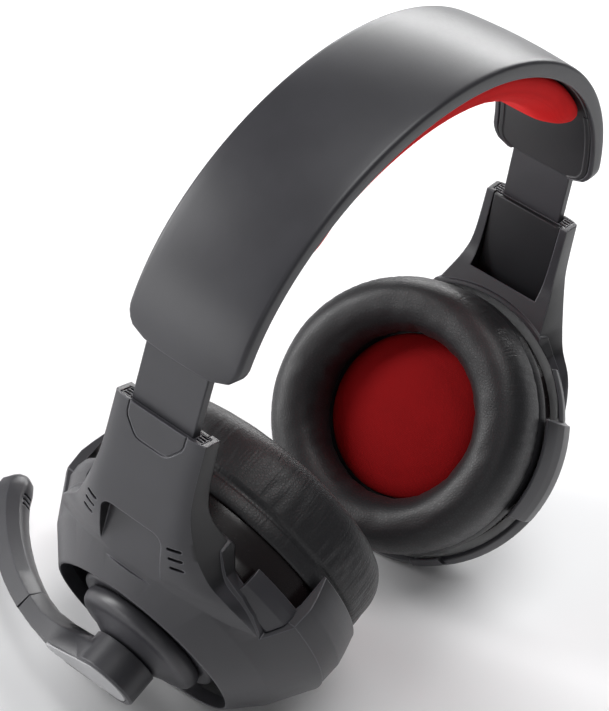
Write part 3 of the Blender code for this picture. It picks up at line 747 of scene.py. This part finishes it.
def joined(name, base, adds, cuts):
    """The base with the other bodies joined on and the cutters taken away, as one skin."""
    solid = hidden(name, base)
    for operation, tools in (("UNION", adds), ("DIFFERENCE", cuts)):
        for index, shape in enumerate(tools):
            step = solid.modifiers.new(f"{operation}_{index}", "BOOLEAN")
            step.operation = operation
            step.object = hidden(f"{name}_{operation}_{index}", shape)
    graph = bpy.context.evaluated_depsgraph_get()
    result = bmesh.new()
    result.from_mesh(bpy.data.meshes.new_from_object(solid.evaluated_get(graph)))
    for step in solid.modifiers:
        bpy.data.objects.remove(step.object)
    bpy.data.objects.remove(solid)
    bmesh.ops.remove_doubles(result, verts=result.verts, dist=0.002 * MM)
    return result


def arm_shape():
    """The arm: a flat face with a chamfered strip along each edge, which flares into the ring."""
    rings = []
    for step in range(ARM_STEPS + 1):
        height, half, middle, edge, back = through(ARM_SECTIONS, step / ARM_STEPS)
        flare = min(1.0, max(0.0, (-height - 26) / 22))
        power = 7 - 4.6 * flare
        right = []
        for place in (0, 0.25, 0.45, 0.58, 0.68, 0.76, 0.84, 0.92, 1.0):
            right.append((place * half, middle - (middle - edge) * place**power))
        right.append((half + 0.2, edge - 0.5))
        right.append((half, back))
        left = [(-y, n) for y, n in reversed(right[1:])]
        rings.append([Vector((y, height, n)) * MM for y, n in right + left])
    shape = swept(rings)
    bmesh.ops.transform(shape, matrix=SLIDE, verts=shape.verts)
    return shape


def sector(profile, span, sign):
    """The part of a turned profile over a span of the cup's plane, at the front or the rear."""
    wedge = prism([(x * sign, y) for x, y in span], -45, 45, CUP)
    turned = hidden("turned", spun(profile, CUP, 0.35, MOULD_STEPS))
    kept = turned.modifiers.new("kept", "BOOLEAN")
    kept.operation = "INTERSECT"
    kept.object = hidden("wedge", wedge)
    graph = bpy.context.evaluated_depsgraph_get()
    shape = bmesh.new()
    shape.from_mesh(bpy.data.meshes.new_from_object(turned.evaluated_get(graph)))
    bpy.data.objects.remove(kept.object)
    bpy.data.objects.remove(turned)
    return shape


def pocket():
    """The recess in the arm's face: deep at its rounded top corners, and running out below."""
    outline = [(-11, 21.0), (11, 21.0)]
    outline += arc((7.6, 37.3), 3.4, 0, 90, 6) + arc((-7.6, 37.3), 3.4, 90, 180, 6)
    shape = prism(outline, 0, 12, axes((0, 1, 0), (0, 0, 1), (1, 0, 0), (90, 0, 0)))
    for vert in shape.verts:
        if vert.co.x < 91 * MM:
            below = max(0.0, 30 - vert.co.z / MM)
            vert.co.x = (POCKET_FLOOR + 0.055 * below**1.6) * MM
    return shape


def panel_seam():
    """The fine seam of the trapezoid panel under the slider."""
    path = PANEL_SEAM + [(-y, height) for y, height in reversed(PANEL_SEAM)]
    rings = []
    for index, spot in enumerate(path):
        last = Vector(path[max(index - 1, 0)])
        next_one = Vector(path[min(index + 1, len(path) - 1)])
        way = (next_one - last).normalized()
        aside = Vector((way.y, -way.x)) * SEAM_HALF_WIDTH
        inner, outer = Vector(spot) - aside, Vector(spot) + aside
        square = ((inner, -SEAM_DEPTH), (outer, -SEAM_DEPTH), (outer, 2), (inner, 2))
        rings.append([Vector((y, height, n)) * MM for (y, height), n in square])
    shape = swept(rings)
    bmesh.ops.transform(shape, matrix=SLIDE, verts=shape.verts)
    return shape


def yoke_parts():
    """The arm, ring and bumpers as one body, with its hollow, slots, pocket and seam cut out."""
    carried = []
    for height, half, *_ in ARM_SECTIONS:
        carried.append((half - 0.1, (SLIDE @ Vector((0, height * MM, 0))).z / MM))
    carried.append((carried[-1][0], CARRIED_LOW))
    carried += [(-y, z) for y, z in reversed(carried)]
    above = block((-60, 21.6, -30), (60, 60, 40), CUP)
    notches = joined("notches", above, [], [prism(carried, 0, 130, FRONT)])
    ring = joined("ring", spun(RING_OUTSIDE, CUP, 0.5, MOULD_STEPS, closed=False), [], [notches])
    adds = [ring]
    for sign in (1, -1):
        adds.append(sector(BUMPER, BUMPER_SPAN, sign))
        adds.append(sector(LOW_BUMPER, LOW_BUMPER_SPAN, sign))
    cuts = [
        spun(RING_INSIDE, CUP, 0.0, MOULD_STEPS, closed=False),
        block((-11.3, -32, -6.5), (11.3, 2, -1.5), SLIDE),
        block((-14.3, -4.0, -5.6), (14.3, 2, -1.1), SLIDE),
        block((-13.0, -36, -12), (13.0, 2, -5.4), SLIDE),
        pocket(),
        panel_seam(),
    ]
    for sign in (1, -1):
        for row in range(SLOT_ROWS):
            middle = (14.9 + 0.7 * row) * sign
            height = 38.8 - 3.2 * row
            tilt = Matrix.Rotation(math.radians(8) * sign, 4, "X")
            place = Matrix.Translation((0, middle * MM, height * MM)) @ tilt @ FRONT
            slot = arc((1.7, 0), 0.55, -90, 90, 4) + arc((-1.7, 0), 0.55, 90, 270, 4)
            cuts.append(prism(slot, 92.6, 99, place))
        hole = spun(PIN_HOLE, UNTURNED, 0.0, 24, closed=False)
        to_side = CUP @ Matrix.Rotation(math.pi / 2 * sign, 4, "Y")
        bmesh.ops.transform(hole, matrix=to_side, verts=hole.verts)
        cuts.append(hole)
    return joined("yoke", arm_shape(), adds, cuts)


yoke_grey = yoke_plastic_with_painted_shade()
yoke_mesh = mesh_of(yoke_parts(), "yoke_moulding")
shoulder_meshes = []
for sign in (1, -1):
    shoulder_meshes.append(mesh_of(sector(SHOULDER, SHOULDER_SPAN, sign), "shoulder"))


def turned_copy(mesh, turn):
    shape = bmesh.new()
    shape.from_mesh(mesh)
    bmesh.ops.transform(shape, matrix=turn, verts=shape.verts)
    return shape


def guide_shape(place):
    """The guide in the yoke's mouth: a window for the strip, and three slots on each side of it."""
    cuts = [block((-11.1, -5, -5.15), (11.1, 2, -1.55), UNTURNED)]
    for sign in (1, -1):
        for row in range(SLOT_ROWS):
            near, far = sorted((11.4 * sign, 13.75 * sign))
            height = -5.15 + 1.25 * row
            cuts.append(block((near, -2.6, height), (far, 2, height + 0.8), UNTURNED))
    shape = joined("guide", block((-14, -3.7, -5.4), (14, -0.1, -1.3), UNTURNED), [], cuts)
    bmesh.ops.transform(shape, matrix=place, verts=shape.verts)
    return shape


for side, turn in HALF_TURN.items():
    body = f"{side}_yoke"
    shape = turned_copy(yoke_mesh, turn)
    piece_of(body + "_moulding", shape, yoke_grey, body, [body + "_shell"])
    for number, mesh in enumerate(shoulder_meshes, start=1):
        shape = turned_copy(mesh, turn)
        piece_of(f"{body}_shoulder_{number}", shape, shell_grey, body)
    refined(body + "_cover", dark_grey, body, 0.25)
    guide, shape = f"{side}_slider_guide", guide_shape(turn @ SLIDE)
    piece_of(guide + "_moulding", shape, shell_grey, body, [guide])


# ---- Cup housings ----
# The deep dark shell that holds the driver: a glossy moulding with a trace of red in it, seen
# between the yoke's ring and the cushion.

CUP_GLOSS = (0.010, 0.007, 0.0075)
HOUSING = [(30.6, 17), (32.5, 14.5), (36.8, 10.5), (41, 5), (42.6, 0), (43, -7), (43, -12.2)]
HOUSING += [(41, -12.2), (41, -7), (40.6, 0), (39.3, 4), (35.6, 9), (31, 12.6), (29.3, 14)]
HOUSING += [(29.3, 17)]

cup_gloss = moulded("cup_gloss", CUP_GLOSS, 0.26, 0.4, Coat_Weight=0.15)
for side, turn in HALF_TURN.items():
    node, shape = f"{side}_cup_housing", spun(HOUSING, turn @ CUP, 0.8)
    piece_of(node + "_shell", shape, cup_gloss, f"{side}_cup", [node])


# ---- Vent rings, drums and discs ----
# Down inside the ring's opening lies a ring of vent slots. A drum stands up through it, and a
# dished disc caps the drum. The left disc carries the boom's spindle.

DRUM = [(18.8, 23.7), (22.8, 23.7), (23.6, 22.9), (23.6, 13.9), (28.8, 13.9), (28.8, 12.4)]
DRUM += [(21.6, 12.4), (21.6, 21.7), (18.8, 21.7)]
DISC = [(9, 32.4), (12.5, 30.8), (16, 29.4), (18.3, 29.1), (19.7, 28.4), (20.5, 26.6)]
DISC += [(20.5, 24.8), (19.8, 24), (18.4, 24), (18.4, 21.9)]
SPINDLE_BORE = 3.3

# Painted light: the vent ring lies in shade, and is given the shell grey made 3.4 times paler.
vent_painted_light = moulded("vent_painted_light", tinted(SHELL_GREY, 3.4), 0.36)
for side, turn in HALF_TURN.items():
    body, drum, disc = f"{side}_cup", f"{side}_drum", f"{side}_disc"
    refined(f"{side}_vent_ring", vent_painted_light, body, 0.15)
    shape = spun(DRUM, turn @ CUP, 0.5)
    piece_of(drum + "_moulding", shape, shell_grey, body, [drum])
    bored = side == "left"
    bore = SPINDLE_BORE if bored else 0.0
    shape = spun([(bore, 32.6), *DISC, (bore, 21.9)], turn @ CUP, 1.1, closed=bored)
    piece_of(disc + "_moulding", shape, shell_grey, body, [disc])


# ---- Inner parts ----
# The spring band, screws and pins, the baffles and drivers, the cable inlet, and the boom's
# spindle, washer and capsule: mostly hidden, and kept as built, in steel, rubber or dark grey ABS.

STEEL = (0.50, 0.50, 0.52)
RUBBER = (0.012, 0.012, 0.013)
BRUSH_LINE = 0.6 * MM


def brushed(name, colour, roughness):
    """Steel with fine uneven lines from its last rubbing."""
    finish = Finish(name, colour, roughness, Metallic=1.0)
    place = finish.place()
    lines = finish.speckle(place, BRUSH_LINE, 3.0)
    finish.feed("Roughness", roughness + (lines - 0.5) * 0.2)
    finish.feed("Base Color", finish.blend_colour(lines, tinted(colour, 0.85), tinted(colour, 1.1)))
    finish.bump(lines, 0.01 * MM)
    return finish


steel = brushed("pin_steel", STEEL, 0.32)
black_rubber = moulded("black_rubber", RUBBER, 0.7, 2.0)
plain_nodes = {"spring_band": steel, "boom_spindle": steel, "mic_capsule": steel}
plain_nodes |= {"boom_washer": black_rubber, "cable_inlet": black_rubber}
for side in HALF_TURN:
    for part in ("strip_screw", "pivot_pin_1", "pivot_pin_2", "driver_frame", "driver_magnet"):
        plain_nodes[f"{side}_{part}"] = steel
    plain_nodes[f"{side}_driver_diaphragm"] = black_rubber
    plain_nodes[f"{side}_baffle"] = dark_grey
for node, finish in plain_nodes.items():
    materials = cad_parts[node].data.materials
    materials.clear()
    materials.append(finish.material)


# ---- Ear cloths ----
# A disc of fine red cloth over thin foam in front of each driver, glued to the baffle. It stands a
# little proud in the middle, and its edge goes under the cushion's hole.

EAR_RED = (0.27, 0.0035, 0.005)
EAR_THREAD = 1.0 * MM
EAR_CLOTH = [(0, -20.8), (9, -20.6), (17, -19.9), (23.2, -18.6), (26.2, -17.2)]
EAR_CLOTH += [(26.9, -16.2), (26.2, -15.1), (0, -15.0)]

for side, turn in HALF_TURN.items():
    place, node = turn @ CUP, f"{side}_ear_cloth"
    shape = spun(EAR_CLOTH, place, 2.2, closed=False)
    spot, angles = place.translation, place.to_euler()
    cloth = woven(node + "_weave", EAR_RED, EAR_THREAD, 0.82, spot, angles, 0.05)
    cloth_disc = piece_of(node + "_disc", shape, cloth, f"{side}_cup", [node], 80)


# ---- Ear cushions ----
# Rings of soft foam in black leatherette. The cover is sewn into a seam round the back edge, and
# its skirt is drawn over the housing's lip, which gathers the outer wall into fine wrinkles.

LEATHERETTE = (0.0118, 0.0115, 0.0136)
PEBBLE = 1.0 * MM
CREASE = 3.2 * MM
WORN_CLOUD = 14 * MM
GATHER_SCALE = 44
CUSHION_STEPS = 144
CUSHION_SPACING = 1.7
CUSHION_SWELL = 0.8
SEWN_ABOVE = -15.3
SEAM_HEIGHT = -14.6
# The cover's section in mm, in the order skirt, outer wall, inner wall: radius, and height.
CUSHION = [(43.3, -14.9), (43.3, -8.8), (43.8, -8.5), (44.3, -8.9), (44.5, -10.5)]
CUSHION += [(44.4, -12.2), (43.9, -13.6)]
CUSHION += [(44.3, -15.2), (44.5, -18), (44.5, -22), (44.2, -26), (43.1, -29.2)]
CUSHION += [(41.0, -31.9), (38.1, -33.3)]
CUSHION += [(35, -33.6), (32.2, -33.2), (29.9, -31.8), (28.3, -29.4), (27.5, -26)]
CUSHION += [(27.5, -22), (28.1, -18), (29.4, -14.9)]


def leatherette(name, colour, origin, turn):
    """Coated cloth: pebbled grain with painted shade in its grooves, broader creases, and a soft
    worn sheen on the high spots.
    """
    finish = Finish(name, colour, 0.5, Coat_Weight=0.06, Coat_Roughness=0.4)
    place = finish.place()
    cells = {"Vector": place, "Scale": 1 / PEBBLE}
    pebble = finish.node("ShaderNodeTexVoronoi", {"feature": "DISTANCE_TO_EDGE"}, cells)
    crease = finish.speckle(place, CREASE, 4.0, 0.65)
    cloud = finish.speckle(place, WORN_CLOUD, 2.0)
    grain = pebble.rise(0.0, 0.35)
    spot = finish.place(origin, turn)
    across, up, height = (finish.part(spot, axis) for axis in range(3))
    radius = (across * across + up * up) ** 0.5
    round_the_cup = {0: across / radius * 0.5, 1: up / radius * 0.5, 2: height * 0.9}
    gathers = finish.node("ShaderNodeCombineXYZ", {}, round_the_cup)
    waves = {"Vector": gathers, "Scale": GATHER_SCALE, "Detail": 1.0}
    pleat = finish.node("ShaderNodeTexNoise", {}, waves)
    wall = radius.rise(40 * MM, 43.5 * MM)
    pleats = (1.0 - (pleat - 0.5).size() * 6).rise(0.0, 1.0) * wall
    body = finish.blend_colour(cloud, tinted(colour, 0.85), tinted(colour, 1.2))
    # Painted shade: the grooves between the pebbles are painted darker.
    finish.feed("Base Color", finish.blend_colour(grain, tinted(colour, 0.65), body))
    finish.feed("Roughness", 0.54 - grain * 0.08 + (cloud - 0.5) * 0.12)
    finish.bump(grain * 0.4 + crease * 0.15 - pleats * 0.7, 0.055 * MM)
    return finish


def resampled(points, spacing):
    """The closed profile on a smooth curve through its points, at about this spacing in mm."""
    count, spots = len(points), []
    for index in range(count):
        a, b, c, d = (Vector(points[(index + shift) % count]) for shift in (-1, 0, 1, 2))
        steps = max(1, round((c - b).length / spacing))
        for step in range(steps):
            spots.append(tuple(between(a, b, c, d, step / steps)))
    return spots


def wrinkled(shape, seed):
    """Moves the skin in the cup's own frame: gathers, seam, and the soft unevenness of foam."""
    for vert in shape.verts:
        x, y, height = (part / MM for part in vert.co)
        radius = math.hypot(x, y)
        if radius < 1:
            continue
        way = Vector((x, y, 0)) / radius
        outside = min(1.0, max(0.0, (radius - 39.5) / 4))
        free = min(1.0, max(0.0, (-height - 14.2) / 3))
        ripple = noise.noise(Vector((way.x * 20 + seed, way.y * 20, height * 0.05)))
        fine = noise.noise(Vector((way.x * 42, way.y * 42 + seed, height * 0.16)))
        gather = (1 - abs(ripple) * 2.2) ** 3 if abs(ripple) < 0.45 else 0.0
        toward_back = min(1.0, max(0.0, (height + 31) / 8))
        push = -outside * free * toward_back * (0.28 * gather + 0.03 * fine)
        swell = noise.noise(Vector((way.x * 2.4, way.y * 2.4, height * 0.05 + seed)))
        push += 0.22 * free * swell
        seam = math.exp(-(((height - SEAM_HEIGHT) / 0.65) ** 2)) if radius > 42 else 0.0
        push -= 0.8 * seam
        wave = noise.noise(Vector((way.x * 5.5, way.y * 5.5 + seed, 7)))
        inside = min(1.0, max(0.0, (29.5 - radius) / 3)) * free
        push -= 0.55 * inside * wave
        vert.co += way * push * MM
        lift = 0.16 * noise.noise(Vector((way.x * 6, way.y * 6, radius * 0.25 + seed)))
        vert.co.z += lift * free * MM


cushion_start = spun(resampled(CUSHION, CUSHION_SPACING), UNTURNED, 0.0, CUSHION_STEPS)
cushion_shape = filled(
    cushion_start, "cushion_cover", lambda spot: spot.z > SEWN_ABOVE * MM, CUSHION_SWELL
)
cushion_mesh = mesh_of(cushion_shape, "cushion_filled")
for seed, (side, turn) in enumerate(HALF_TURN.items()):
    shape = bmesh.new()
    shape.from_mesh(cushion_mesh)
    wrinkled(shape, 3.7 * seed)
    place, node = turn @ CUP, f"{side}_ear_cushion"
    bmesh.ops.transform(shape, matrix=place, verts=shape.verts)
    spot, angles = place.translation, place.to_euler()
    leather = leatherette(f"{side}_leatherette", LEATHERETTE, spot, angles)
    cushion = piece_of(
        f"{side}_cushion", shape, leather, f"{side}_cup", [node], 75
    )


# ---- Microphone boom ----
# Two satin grey mouldings: the hub with its first stretch, and the curved arm with three sound
# slots near its tip. A paler painted panel is let into the hub.

PANEL_GREY = (0.36, 0.36, 0.37)

refined("boom_hub", shell_grey, "boom", 0)
refined("boom_arm", shell_grey, "boom", 0)
panel_paint = moulded("panel_paint", PANEL_GREY, 0.36, 0.6)
refined("boom_panel", panel_paint, "boom", 0.2)
